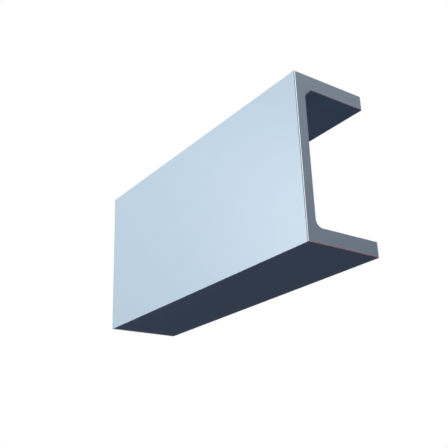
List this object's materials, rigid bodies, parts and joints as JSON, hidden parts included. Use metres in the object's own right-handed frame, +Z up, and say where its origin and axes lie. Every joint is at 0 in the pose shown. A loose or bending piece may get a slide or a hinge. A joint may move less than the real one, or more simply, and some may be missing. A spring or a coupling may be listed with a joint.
{
  "type": "metal channel section",
  "caption": "Short sawn length of rolled steel channel with a plain web, two parallel flanges and filed end edges, in pale steel blue.",
  "frame": {"origin": "middle of the footprint of the lower flange, on the surface that the channel stands on", "axes": "+X along the length, -Y out of the web's outer face, +Y from the web towards the flange tips, +Z up across the depth of the section"},
  "size_m": [0.1582, 0.0388, 0.0762],
  "materials": {
    "steel_blue_finish": "satin, pale steel blue"
  },
  "bodies": {
    "root": {"channel_section": "steel_blue_finish"}
  },
  "joints": []
}
